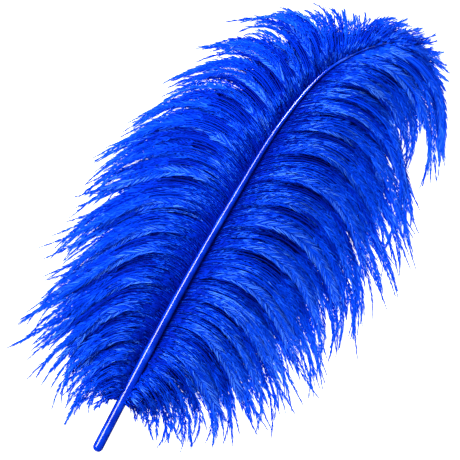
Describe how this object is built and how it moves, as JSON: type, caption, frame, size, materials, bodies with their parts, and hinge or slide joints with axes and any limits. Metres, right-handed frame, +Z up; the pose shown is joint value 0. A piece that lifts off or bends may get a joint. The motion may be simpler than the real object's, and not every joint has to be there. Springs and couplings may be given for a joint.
{
  "type": "ostrich feather",
  "caption": "Dyed blue ostrich plume lying flat: a tapering shaft that curls right at its tip, with a wide soft vane of loose curling barbs on either side.",
  "frame": {"origin": "on the surface that the plume lies on, under the middle of its bounding box", "axes": "+Y from the quill's round end towards the curled tip, +X to the right of the shaft seen from above, +Z up out of the plume's face"},
  "size_m": [0.2232, 0.3818, 0.0242],
  "materials": {
    "shaft": "glossy dyed keratin",
    "barbs": "soft dyed down with a silky sheen"
  },
  "bodies": {
    "root": {"shaft": "shaft", "left_vane": "barbs", "right_vane": "barbs"}
  },
  "joints": []
}
